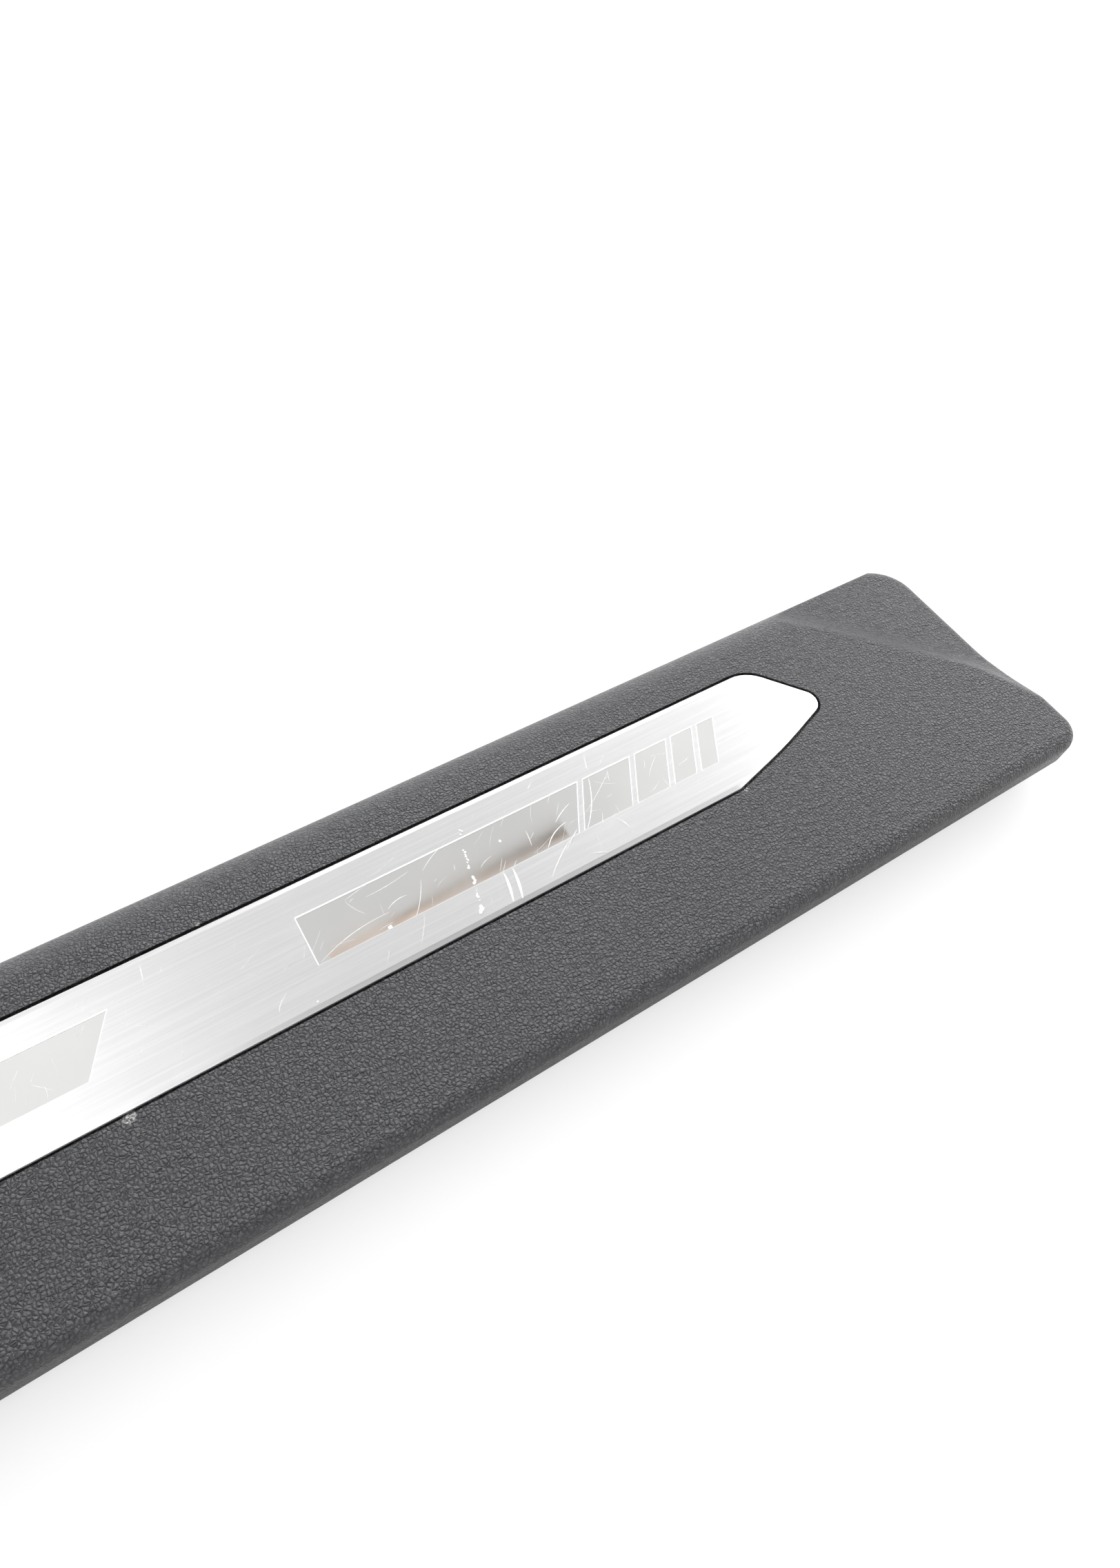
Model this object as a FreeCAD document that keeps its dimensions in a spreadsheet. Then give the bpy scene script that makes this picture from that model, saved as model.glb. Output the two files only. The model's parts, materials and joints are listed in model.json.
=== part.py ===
"""Front door sill trim of a car: a grained moulded cover with a bright metal insert.

The cover is one moulding, a shallow shell with its open side down. Its far long edge rolls off
broadly, the other edges turn down tightly, and at the right end a lower shelf runs out from the
far edge behind a curved ramp. The metal insert lies in a recess of its own outline on two strips
of tape. Under the skin are stiffening ribs, open-sided towers that hold the retaining clips,
and two locating pins. Each clip carries a sealing ring, and four foam pads stop rattle.

Millimetres. X runs along the trim, +Y points to the far (broadly rolled) edge, +Z is up.
The origin is under the middle of the trim, on the plane that the clip tips stand on.
"""
import FreeCAD, Part
import Sketcher
import math
import os

Vector = FreeCAD.Vector

# Driving sizes, in millimetres and degrees

SIZES = [
    # Cover outline and section
    ("cover_length", 616.0),
    ("cover_width", 108.2),
    ("cover_wall", 2.5),
    ("far_wall_depth", 18.0),
    ("near_lip_depth", 12.0),
    ("near_corner_radius", 9.5),
    ("far_corner_radius", 18.0),
    ("edge_roll_radius", 5.0),
    ("far_roll_radius", 16.0),
    # Lower shelf at the right end, and the ramp that leads down to it
    ("shelf_drop", 5.5),
    ("ramp_slope", 30.0),
    ("ramp_crest_radius", 5.0),
    ("ramp_foot_radius", 20.0),
    ("crease_bend_radius", 60.0),
    ("crease_bend_from_end", 71.3),
    ("crease_bend_from_far", 7.2),
    ("crease_turn_from_end", 15.1),
    ("crease_turn_from_far", 66.1),
    ("crease_exit_from_far", 98.5),
    ("crease_lead_angle", 6.0),
    ("crease_lead", 120.0),
    # Metal insert
    ("insert_point_length", 461.0),
    ("insert_width", 40.0),
    ("insert_from_far", 23.9),
    ("insert_thickness", 1.2),
    ("insert_stand_proud", 0.2),
    ("insert_gap", 1.1),
    ("nose_far_setback", 19.3),
    ("nose_near_setback", 52.4),
    ("nose_point_from_near", 15.7),
    ("nose_bend_setback", 27.0),
    ("nose_bend_from_near", 6.4),
    ("nose_bend_radius", 200.0),
    ("nose_far_radius", 13.5),
    ("nose_near_radius", 6.0),
    ("nose_point_radius", 5.2),
    ("rim_width", 1.6),
    ("rim_fall", 0.3),
    # Polished fields sunk into the insert
    ("field_depth", 0.12),
    ("field_height", 16.6),
    ("field_from_far", 11.1),
    ("field_lean", 30.4),
    ("bare_zone_left", 24.1),
    ("bare_zone_right", 31.2),
    ("long_field_end", 130.3),
    ("block_gap", 2.5),
    ("block_width_one", 18.7),
    ("block_width_two", 12.8),
    ("block_width_three", 8.8),
    ("block_width_four", 6.9),
    # Tape under the insert
    ("tape_thickness", 0.4),
    ("tape_width", 9.0),
    ("tape_from_edge", 3.0),
    ("tape_from_nose", 4.0),
    # Recess pan and ribs under the skin
    ("pan_floor", 2.2),
    ("pan_margin", 3.0),
    ("rib_depth", 9.5),
    ("rib_thickness", 1.6),
    ("rib_pitch", 46.0),
    ("last_rib_from_end", 31.0),
    ("near_rib_from_near", 34.5),
    ("middle_rib_from_far", 43.9),
    # Clip towers
    ("seat_depth", 11.5),
    ("tower_length", 18.0),
    ("tower_width", 17.0),
    ("tower_plate", 2.2),
    ("outer_clip_from_end", 75.5),
    ("inner_clip_from_end", 213.5),
    ("clip_from_near", 22.5),
    ("clip_from_far", 25.9),
    # Locating pins
    ("pin_radius", 3.0),
    ("pin_depth", 17.5),
    ("pin_tip_radius", 1.8),
    ("pin_tip_length", 2.5),
    ("pin_from_end", 29.5),
    ("pin_from_far", 60.0),
    # Retaining clips and their sealing rings
    ("clip_reach", 13.5),
    ("head_width", 12.0),
    ("head_corner", 2.5),
    ("head_thickness", 1.6),
    ("head_clearance", 0.2),
    ("neck_width", 6.0),
    ("neck_corner", 1.0),
    ("slide_clearance", 0.3),
    ("flange_radius", 8.0),
    ("flange_thickness", 1.4),
    ("leg_thickness", 4.4),
    ("shank_width", 5.6),
    ("barb_width", 9.2),
    ("barb_length", 7.4),
    ("barb_back", 1.0),
    ("tip_width", 3.8),
    ("leg_slot_width", 1.6),
    ("leg_root", 1.0),
    ("seal_radius", 8.6),
    ("seal_bore_radius", 3.8),
    ("seal_thickness", 2.0),
    # Foam pads
    ("pad_length", 34.0),
    ("pad_width", 14.0),
    ("pad_from_end", 167.5),
]

doc = FreeCAD.newDocument("door_sill_trim")
sheet = doc.addObject("Spreadsheet::Sheet", "sizes")
for row, (alias, number) in enumerate(SIZES, 1):
    sheet.set(f"A{row}", alias)
    sheet.set(f"B{row}", str(number))
    sheet.setAlias(f"B{row}", alias)
doc.recompute()

# Levels and edges that several pieces share, as expressions on the sheet

END = "sizes.cover_length / 2"
FAR = "sizes.cover_width / 2"
TOP = "(sizes.clip_reach + sizes.seat_depth)"
SEAT = "sizes.clip_reach"
INSERT_FAR = f"({FAR} - sizes.insert_from_far)"
INSERT_NEAR = f"({INSERT_FAR} - sizes.insert_width)"
RECESS_FLOOR = (f"({TOP} + sizes.insert_stand_proud - sizes.insert_thickness"
                " - sizes.tape_thickness)")
BODY_FACE = f"({SEAT} - sizes.flange_thickness - sizes.seal_thickness)"

# How far a cutting solid runs past what it cuts: at a plain face, and at an open side
PAST = 1.0
RUN_OUT = 20.0

# How near two levels lie to count as one, and how flat a normal lies to belong to a wall
SAME_LEVEL = 0.01
FLAT_NORMAL = 0.01


def value(expression):
    """The number that an expression on the sheet gives."""
    result = sheet.evalExpression(str(expression))
    return float(getattr(result, "Value", result))


def bind(item, path, expression):
    """Tie one property to the sheet."""
    item.setExpression(path, str(expression))


# Sketch and solid helpers


def new_body(name):
    return doc.addObject("PartDesign::Body", name)


def body_sketch(body, role, name, offset="0"):
    """A sketch on one of the body's own origin planes, moved along the plane's normal."""
    sketch = body.newObject("Sketcher::SketchObject", name)
    plane = [item for item in body.Origin.OriginFeatures if item.Role == role][0]
    sketch.AttachmentSupport = [(plane, "")]
    sketch.MapMode = "FlatFace"
    bind(sketch, "AttachmentOffset.Base.z", offset)
    return sketch


def free_sketch(name, level="0"):
    """A sketch of the document itself, in plan, at a level."""
    sketch = doc.addObject("Sketcher::SketchObject", name)
    bind(sketch, "Placement.Base.z", level)
    return sketch


def dimension(sketch, expression, *terms):
    """Add a dimension to a sketch and tie it to the sheet."""
    index = sketch.addConstraint(Sketcher.Constraint(*terms))
    bind(sketch, f"Constraints[{index}]", expression)


def outline(sketch, corners, closed=True):
    """Draw straight runs from corner to corner, rounded where a corner has a radius.

    Each corner is (x, y, radius), all as expressions, and a radius of None leaves it sharp.
    """
    count = len(corners)
    points = [Vector(value(x), value(y), 0) for x, y, _ in corners]
    marks = []
    for (x, y, _), point in zip(corners, points):
        mark = sketch.addGeometry(Part.Point(point), True)
        dimension(sketch, x, "DistanceX", -1, 1, mark, 1, point.x)
        dimension(sketch, y, "DistanceY", -1, 1, mark, 1, point.y)
        marks.append(mark)
    starts = list(points)
    ends = list(points)
    arcs = [None] * count
    for index, (_, _, radius) in enumerate(corners):
        at_end = not closed and index in (0, count - 1)
        if radius is None or at_end:
            continue
        corner = points[index]
        back = (points[index - 1] - corner).normalize()
        ahead = (points[(index + 1) % count] - corner).normalize()
        half = back.getAngle(ahead) / 2
        size = value(radius)
        ends[index] = corner + back * (size / math.tan(half))
        starts[index] = corner + ahead * (size / math.tan(half))
        centre = corner + (back + ahead).normalize() * (size / math.sin(half))
        left_turn = (back * -1).cross(ahead).z > 0
        first, last = (ends[index], starts[index]) if left_turn else (starts[index], ends[index])
        circle = Part.Circle(centre, Vector(0, 0, 1), size)
        arc = sketch.addGeometry(
            Part.ArcOfCircle(circle, circle.parameter(first), circle.parameter(last)), False)
        dimension(sketch, radius, "Radius", arc, size)
        arcs[index] = (arc, left_turn)
    runs = count if closed else count - 1
    lines = []
    for index in range(runs):
        follower = (index + 1) % count
        line = sketch.addGeometry(Part.LineSegment(starts[index], ends[follower]), False)
        lines.append(line)
    for index in range(runs):
        follower = (index + 1) % count
        line = lines[index]
        for end, corner in ((1, index), (2, follower)):
            if arcs[corner] is None:
                sketch.addConstraint(Sketcher.Constraint("Coincident", line, end, marks[corner], 1))
                continue
            arc, left_turn = arcs[corner]
            arc_end = (2 if left_turn else 1) if end == 1 else (1 if left_turn else 2)
            sketch.addConstraint(Sketcher.Constraint("Tangent", line, end, arc, arc_end))
            sketch.addConstraint(Sketcher.Constraint("PointOnObject", marks[corner], 1, line))


def pad(body, sketch, name, length):
    feature = body.newObject("PartDesign::Pad", name)
    feature.Profile = sketch
    bind(feature, "Length", length)
    return feature


def pocket(body, sketch, name, depth):
    feature = body.newObject("PartDesign::Pocket", name)
    feature.Profile = sketch
    bind(feature, "Length", depth)
    return feature


def block(name, low, extent):
    """A box from its low corner and its extent, each three expressions."""
    item = doc.addObject("Part::Box", name)
    for path, expression in zip(("Length", "Width", "Height"), extent):
        bind(item, path, expression)
    for axis, expression in zip("xyz", low):
        bind(item, f"Placement.Base.{axis}", expression)
    return item


def rod(name, centre, base, radius, height):
    """An upright cylinder about centre, from the level base."""
    item = doc.addObject("Part::Cylinder", name)
    bind(item, "Radius", radius)
    bind(item, "Height", height)
    for axis, expression in zip("xyz", (*centre, base)):
        bind(item, f"Placement.Base.{axis}", expression)
    return item


def cut(name, base, tool):
    item = doc.addObject("Part::Cut", name)
    item.Base = base
    item.Tool = tool
    return item


def fuse(name, pieces):
    item = doc.addObject("Part::MultiFuse", name)
    item.Shapes = pieces
    return item


# The cover: an outer form less a core, as the moulding tool makes it


def crease_path(level):
    """The crease in plan: along the far edge, diagonally across the corner, out at the end."""
    sketch = free_sketch("crease_path", level)
    bend = (f"({END} - sizes.crease_bend_from_end)", f"({FAR} - sizes.crease_bend_from_far)")
    turn = (f"({END} - sizes.crease_turn_from_end)", f"({FAR} - sizes.crease_turn_from_far)")
    leave = (END, f"({FAR} - sizes.crease_exit_from_far)")
    lead = (f"({bend[0]} - sizes.crease_lead * cos(sizes.crease_lead_angle))",
            f"({bend[1]} + sizes.crease_lead * sin(sizes.crease_lead_angle))")
    beyond = tuple(f"(2 * ({out}) - {before})" for out, before in zip(leave, turn))
    outline(sketch, [(*lead, None),
                     (*bend, "sizes.crease_bend_radius"),
                     (*turn, "sizes.crease_bend_radius"),
                     (*beyond, None)], closed=False)
    return sketch


def ramp_profile(path):
    """Section across the ramp, square to the start of the path: crest, slope, foot and shelf.

    Its first axis points outward, away from the crown, and its second axis points up.
    """
    slope = math.radians(value("sizes.ramp_slope"))
    crest = value("sizes.ramp_crest_radius")
    foot = value("sizes.ramp_foot_radius")
    drop = value("sizes.shelf_drop")
    reach = value("sizes.cover_width")
    crest_centre = Vector(0, -crest, 0)
    crest_end = crest_centre + Vector(math.sin(slope), math.cos(slope), 0) * crest
    foot_start_level = -drop + foot * (1 - math.cos(slope))
    run = (crest_end.y - foot_start_level) / math.tan(slope)
    foot_start = Vector(crest_end.x + run, foot_start_level, 0)
    foot_end = Vector(foot_start.x + foot * math.sin(slope), -drop, 0)
    corner = Vector(reach, -drop, 0)
    upper = Vector(reach, crest, 0)
    over = Vector(0, crest, 0)

    def arc(centre, radius, first, last):
        middle = (first + last) * 0.5 - centre
        middle = centre + middle.normalize() * radius
        return Part.Arc(first, middle, last).toShape()

    start = Vector(0, 0, 0)
    foot_centre = foot_end + Vector(0, foot, 0)
    edges = [arc(crest_centre, crest, start, crest_end),
             Part.LineSegment(crest_end, foot_start).toShape(),
             arc(foot_centre, foot, foot_start, foot_end),
             Part.LineSegment(foot_end, corner).toShape(),
             Part.LineSegment(corner, upper).toShape(),
             Part.LineSegment(upper, over).toShape(),
             Part.LineSegment(over, start).toShape()]
    profile = doc.addObject("Part::Feature", "ramp_profile")
    profile.Shape = Part.Wire(edges)
    corners = path.Shape.Wires[0].OrderedVertexes
    begin, then = corners[0].Point, corners[1].Point
    up = Vector(0, 0, 1)
    outward = (then - begin).normalize().cross(up)
    if outward.x + outward.y < 0:
        outward = outward * -1
    turn = FreeCAD.Rotation(outward, up, outward.cross(up), "ZXY")
    profile.Placement = FreeCAD.Placement(begin, turn)
    return profile


def crease_cutter():
    """What the shelf and its ramp take away, swept along the crease."""
    path = crease_path(TOP)
    doc.recompute()
    sweep = doc.addObject("Part::Sweep", "crease_cutter")
    sweep.Sections = [ramp_profile(path)]
    doc.recompute()
    sweep.Spine = (path, [f"Edge{index + 1}" for index in range(len(path.Shape.Edges))])
    sweep.Solid = True
    sweep.Frenet = False
    return sweep


def lowered(name, item, depth):
    """The same solid, moved down."""
    link = doc.addObject("Part::Compound", name)
    link.Links = [item]
    bind(link, "Placement.Base.z", f"-({depth})")
    return link


def rounded_block(name, inset, floor):
    """The plan outline, inset all round, raised from a floor level to the inset top."""
    body = new_body(name)
    sketch = body_sketch(body, "XY_Plane", f"{name}_outline", floor)
    end, side = f"({END} - {inset})", f"({FAR} - {inset})"
    near, far = f"(sizes.near_corner_radius - {inset})", f"(sizes.far_corner_radius - {inset})"
    outline(sketch, [(f"-{end}", f"-{side}", near), (end, f"-{side}", near),
                     (end, side, far), (f"-{end}", side, far)])
    pad(body, sketch, f"{name}_pad", f"{TOP} - {inset} - ({floor})")
    return body


def upper_perimeter(shape):
    """Numbers of the edges where the upright walls meet what lies above them."""
    upright = [face for face in shape.Faces
               if abs(face.normalAt(*face.Surface.parameter(face.CenterOfMass)).z) < FLAT_NORMAL]
    floor = shape.BoundBox.ZMin
    numbers = []
    for index, edge in enumerate(shape.Edges, 1):
        owners = [face for face in upright if any(edge.isSame(other) for other in face.Edges)]
        if len(owners) == 1 and edge.BoundBox.ZMin > floor + SAME_LEVEL:
            numbers.append(index)
    return numbers


def fillet(name, base, numbers, radius):
    item = doc.addObject("Part::Fillet", name)
    item.Base = base
    item.Edges = [(number, value(radius), value(radius)) for number in numbers]
    return item


def far_roll_cutter(name, inset):
    """What the broad roll takes off the far edge: a square bar less a round one."""
    radius = f"(sizes.far_roll_radius - {inset})"
    run = f"(sizes.cover_length + 2 * {PAST})"
    low = (f"-{run} / 2", f"{FAR} - sizes.far_roll_radius", f"{TOP} - sizes.far_roll_radius")
    bar = block(f"{name}_bar", low,
                (run, f"sizes.far_roll_radius + {PAST}", f"sizes.far_roll_radius + {PAST}"))
    core = doc.addObject("Part::Cylinder", f"{name}_round")
    bind(core, "Radius", radius)
    bind(core, "Height", run)
    core.Placement = FreeCAD.Placement(Vector(), FreeCAD.Rotation(Vector(0, 1, 0), 90))
    for axis, expression in zip("xyz", low):
        bind(core, f"Placement.Base.{axis}", expression)
    return cut(name, bar, core)


def form(name, inset, floor, cutter):
    """The closed form of the cover, inset all round: stepped, then rolled at every upper edge."""
    stepped = cut(f"{name}_step", rounded_block(f"{name}_block", inset, floor), cutter)
    doc.recompute()
    edges = upper_perimeter(stepped.Shape)
    turned = fillet(f"{name}_turned", stepped, edges, f"sizes.edge_roll_radius - {inset}")
    return cut(name, turned, far_roll_cutter(f"{name}_far_roll", inset))


def insert_outline(sketch):
    """The insert in plan: two long straight sides, drawn to a blunt point at each end.

    The near side of each point is slightly bowed.
    """
    point = "(sizes.insert_point_length / 2)"
    far_corner = f"({point} - sizes.nose_far_setback)"
    near_corner = f"({point} - sizes.nose_near_setback)"
    bend = f"({point} - sizes.nose_bend_setback)"
    point_side = f"({INSERT_NEAR} + sizes.nose_point_from_near)"
    bend_side = f"({INSERT_NEAR} + sizes.nose_bend_from_near)"
    outline(sketch, [(f"-{near_corner}", INSERT_NEAR, "sizes.nose_near_radius"),
                     (near_corner, INSERT_NEAR, "sizes.nose_near_radius"),
                     (bend, bend_side, "sizes.nose_bend_radius"),
                     (point, point_side, "sizes.nose_point_radius"),
                     (far_corner, INSERT_FAR, "sizes.nose_far_radius"),
                     (f"-{far_corner}", INSERT_FAR, "sizes.nose_far_radius"),
                     (f"-{point}", point_side, "sizes.nose_point_radius"),
                     (f"-{bend}", bend_side, "sizes.nose_bend_radius")])


def grown_insert(name, margin, base, height):
    """The insert's outline, grown by a margin and raised from a level."""
    sketch = free_sketch(f"{name}_outline")
    insert_outline(sketch)
    grown = doc.addObject("Part::Offset2D", f"{name}_grown")
    grown.Source = sketch
    bind(grown, "Value", margin)
    solid = doc.addObject("Part::Extrusion", name)
    solid.Base = grown
    solid.DirMode = "Custom"
    solid.Dir = Vector(0, 0, 1)
    solid.Solid = True
    bind(solid, "LengthFwd", height)
    bind(solid, "Placement.Base.z", base)
    return solid


# Where the clips, pins and pads stand in plan

CLIP_ROWS = (f"(-{FAR} + sizes.clip_from_near)", f"({FAR} - sizes.clip_from_far)")
CLIP_STATIONS = (f"(-{END} + sizes.outer_clip_from_end)", f"(-{END} + sizes.inner_clip_from_end)",
                 f"({END} - sizes.inner_clip_from_end)", f"({END} - sizes.outer_clip_from_end)")
CLIP_PLACES = [(x, y) for y in CLIP_ROWS for x in CLIP_STATIONS]
PIN_PLACES = [(f"({sign} * ({END} - sizes.pin_from_end))", f"({FAR} - sizes.pin_from_far)")
              for sign in (-1, 1)]
PAD_PLACES = [(f"({sign} * ({END} - sizes.pad_from_end))", y)
              for y in CLIP_ROWS for sign in (-1, 1)]


def ribs():
    """Cross ribs at an even pitch, and two long ribs."""
    base = f"({TOP} - sizes.rib_depth)"
    half = "sizes.rib_thickness / 2"
    pieces = []
    count = 2 * math.floor(value(f"({END} - sizes.last_rib_from_end) / sizes.rib_pitch + 0.5"))
    for index in range(count):
        place = f"({index} - {(count - 1) / 2}) * sizes.rib_pitch - {half}"
        pieces.append(block(f"cross_rib_{index + 1}", (place, f"-{FAR}", base),
                            ("sizes.rib_thickness", "sizes.cover_width", RUN_OUT)))
    for name, line in (("near", f"-{FAR} + sizes.near_rib_from_near"),
                       ("middle", f"{FAR} - sizes.middle_rib_from_far")):
        pieces.append(block(f"{name}_long_rib", (f"-{END}", f"{line} - {half}", base),
                            ("sizes.cover_length", "sizes.rib_thickness", RUN_OUT)))
    return pieces


def towers():
    """The solid block of each clip tower, from its seat upward."""
    return [block(f"tower_{index}",
                  (f"{x} - sizes.tower_length / 2", f"{y} - sizes.tower_width / 2", SEAT),
                  ("sizes.tower_length", "sizes.tower_width", RUN_OUT))
            for index, (x, y) in enumerate(CLIP_PLACES, 1)]


def tower_rooms():
    """The room for a clip's head in each tower, and the slot in its plate for the neck."""
    pieces = []
    plate_top = f"({SEAT} + sizes.tower_plate)"
    head_depth = "(sizes.head_thickness + 2 * sizes.head_clearance)"
    neck_depth = f"(sizes.tower_plate + 2 * {PAST})"
    run = f"(sizes.tower_length / 2 + {PAST})"
    for index, (x, y) in enumerate(CLIP_PLACES, 1):
        for part, base, depth in (("head", plate_top, head_depth),
                                  ("neck", f"({SEAT} - {PAST})", neck_depth)):
            half = f"(sizes.{part}_width / 2 + sizes.slide_clearance)"
            pieces.append(block(f"{part}_room_{index}", (f"{x} - {half}", f"{y} - {half}", base),
                                (f"{half} + {run}", f"2 * {half}", depth)))
    return pieces


def skirt_cutter():
    """The wedge below the skirt, whose lower edge rises from the far wall to the near lip."""
    body = new_body("skirt_cutter")
    sketch = body_sketch(body, "YZ_Plane", "skirt_line")
    far_level = f"{TOP} - sizes.far_wall_depth"
    near_level = f"{TOP} - sizes.near_lip_depth"
    outline(sketch, [(f"-{FAR} - {PAST}", f"{far_level} - {PAST}", None),
                     (FAR, f"{far_level} - {PAST}", None),
                     (FAR, far_level, None),
                     (f"-{FAR} - {PAST}", near_level, None)])
    feature = pad(body, sketch, "skirt_wedge", f"sizes.cover_length + 2 * {PAST}")
    feature.Midplane = True
    return body


def locating_pin(index, place):
    """A round pin under the skin, with a tapered tip."""
    bottom = f"({TOP} - sizes.pin_depth)"
    shoulder = f"({bottom} + sizes.pin_tip_length)"
    root = f"({TOP} - sizes.cover_wall / 2)"
    shaft = rod(f"pin_{index}_shaft", place, shoulder, "sizes.pin_radius", f"{root} - {shoulder}")
    tip = doc.addObject("Part::Cone", f"pin_{index}_tip")
    bind(tip, "Radius1", "sizes.pin_tip_radius")
    bind(tip, "Radius2", "sizes.pin_radius")
    bind(tip, "Height", "sizes.pin_tip_length")
    for axis, expression in zip("xyz", (*place, bottom)):
        bind(tip, f"Placement.Base.{axis}", expression)
    return [shaft, tip]


def sill_cover():
    cutter = crease_cutter()
    floor = f"{TOP} - sizes.far_wall_depth"
    outer = form("outer_form", "0", floor, cutter)
    inner_cutter = lowered("core_crease_cutter", cutter, "sizes.cover_wall")
    core = form("core_form", "sizes.cover_wall", f"{floor} - {RUN_OUT}", inner_cutter)
    pan_underside = f"({RECESS_FLOOR} - sizes.pan_floor)"
    pan = grown_insert("pan_block", "sizes.insert_gap + sizes.pan_margin", pan_underside, RUN_OUT)
    kept = fuse("kept_in_core", [pan, *ribs(), *towers()])
    hollow = cut("hollow", core, kept)
    recess = grown_insert("recess", "sizes.insert_gap", RECESS_FLOOR, RUN_OUT)
    taken = fuse("taken_from_cover", [recess, *tower_rooms(), skirt_cutter()])
    shell = cut("cover_shell", outer, hollow)
    moulding = cut("moulding", shell, taken)
    pins = [piece for index, place in enumerate(PIN_PLACES, 1)
            for piece in locating_pin(index, place)]
    return fuse("sill_cover", [moulding, *pins])


# The metal insert and what holds it


def fields():
    """Polished fields as (left, right) at their far edge: two long ones, then shrinking blocks."""
    widths = ("one", "two", "three", "four")
    right = [("sizes.bare_zone_right", "sizes.long_field_end", "upright")]
    edge = "sizes.long_field_end"
    for width in widths:
        start = f"({edge} + sizes.block_gap)"
        edge = f"({start} + sizes.block_width_{width})"
        right.append((start, edge, "leaning"))
    shift = "(sizes.field_height * tan(sizes.field_lean))"
    left = [("-(sizes.long_field_end - sizes.bare_zone_left)", "-sizes.bare_zone_left", "leaning")]
    edge = left[0][0]
    for width in widths:
        end = f"({edge} - sizes.block_gap)"
        edge = f"({end} - sizes.block_width_{width})"
        left.append((edge, end, "leaning"))
    return right + left, shift


def trim_insert():
    body = new_body("trim_insert")
    base = f"{RECESS_FLOOR} + sizes.tape_thickness"
    plan = body_sketch(body, "XY_Plane", "insert_plan", base)
    insert_outline(plan)
    plate = pad(body, plan, "insert_plate", "sizes.insert_thickness")
    doc.recompute()
    top = plate.Shape.BoundBox.ZMax
    rim = [f"Edge{index}" for index, edge in enumerate(plate.Shape.Edges, 1)
           if edge.BoundBox.ZMin > top - SAME_LEVEL]
    bevel = body.newObject("PartDesign::Chamfer", "insert_bevel")
    bevel.Base = (plate, rim)
    bevel.ChamferType = "Two distances"
    bind(bevel, "Size", "sizes.rim_fall")
    bind(bevel, "Size2", "sizes.rim_width")
    doc.recompute()
    etched = body_sketch(body, "XY_Plane", "field_lines", f"{base} + sizes.insert_thickness")
    places, shift = fields()
    upper = f"({INSERT_FAR} - sizes.field_from_far)"
    lower = f"({upper} - sizes.field_height)"
    for left, right, side in places:
        foot = left if side == "upright" else f"({left} - {shift})"
        outline(etched, [(foot, lower, None), (f"({right} - {shift})", lower, None),
                         (right, upper, None), (left, upper, None)])
    pocket(body, etched, "polished_fields", "sizes.field_depth")
    return body


def tape(name, side, setback):
    """A strip of double-sided tape between the recess floor and the insert.

    Its low long side is given, and it stops short of where that side of the nose sets back.
    """
    reach = f"(sizes.insert_point_length / 2 - {setback} - sizes.tape_from_nose)"
    return block(name, (f"-{reach}", side, RECESS_FLOOR),
                 (f"2 * {reach}", "sizes.tape_width", "sizes.tape_thickness"))


# Fastenings and pads under the cover


def square_pad(body, name, size, base, thickness):
    """A square block about the body's upright axis, its corners cut off."""
    half = f"(sizes.{size}_width / 2)"
    short = f"({half} - sizes.{size}_corner)"
    sketch = body_sketch(body, "XY_Plane", f"{name}_outline", base)
    outline(sketch, [(f"-{short}", f"-{half}", None), (short, f"-{half}", None),
                     (half, f"-{short}", None), (half, short, None),
                     (short, half, None), (f"-{short}", half, None),
                     (f"-{half}", short, None), (f"-{half}", f"-{short}", None)])
    return pad(body, sketch, name, thickness)


def round_pad(body, name, radius, base, thickness):
    """A disc about the body's upright axis."""
    sketch = body_sketch(body, "XY_Plane", f"{name}_outline", base)
    size = value(radius)
    circle = sketch.addGeometry(Part.Circle(Vector(), Vector(0, 0, 1), size), False)
    sketch.addConstraint(Sketcher.Constraint("Coincident", circle, 3, -1, 1))
    dimension(sketch, radius, "Radius", circle, size)
    return pad(body, sketch, name, thickness)


def retaining_clip(index, place):
    """Two barbed springing legs under a round flange, with a neck and a square head above it."""
    name = f"retaining_clip_{index}"
    body = new_body(name)
    head_base = f"({SEAT} + sizes.tower_plate + sizes.head_clearance)"
    flange_base = f"({SEAT} - sizes.flange_thickness)"
    side = [("sizes.leg_slot_width / 2", "0"),
            ("sizes.tip_width / 2", "0"),
            ("sizes.barb_width / 2", "sizes.barb_length"),
            ("sizes.shank_width / 2", "sizes.barb_length + sizes.barb_back"),
            ("sizes.shank_width / 2", flange_base)]
    slot_top = f"({flange_base} - sizes.leg_root)"
    right = [("sizes.leg_slot_width / 2", slot_top), *side]
    left = [(f"-({x})", level) for x, level in reversed(right)]
    legs_outline = body_sketch(body, "XZ_Plane", f"{name}_legs_outline")
    outline(legs_outline, [(x, level, None) for x, level in right + left])
    legs = pad(body, legs_outline, f"{name}_legs", "sizes.leg_thickness")
    legs.Midplane = True
    round_pad(body, f"{name}_flange", "sizes.flange_radius", flange_base, "sizes.flange_thickness")
    square_pad(body, f"{name}_neck", "neck", SEAT, f"{head_base} - {SEAT}")
    square_pad(body, f"{name}_head", "head", head_base, "sizes.head_thickness")
    for axis, expression in zip("xy", place):
        bind(body, f"Placement.Base.{axis}", expression)
    return body


def clip_seal(index, place):
    """The ring that seals the body hole, under a clip's flange."""
    name = f"clip_seal_{index}"
    ring = rod(f"{name}_disc", place, BODY_FACE, "sizes.seal_radius", "sizes.seal_thickness")
    bore = rod(f"{name}_bore", place, f"{BODY_FACE} - {PAST}", "sizes.seal_bore_radius",
               f"sizes.seal_thickness + 2 * {PAST}")
    return cut(name, ring, bore)


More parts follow.
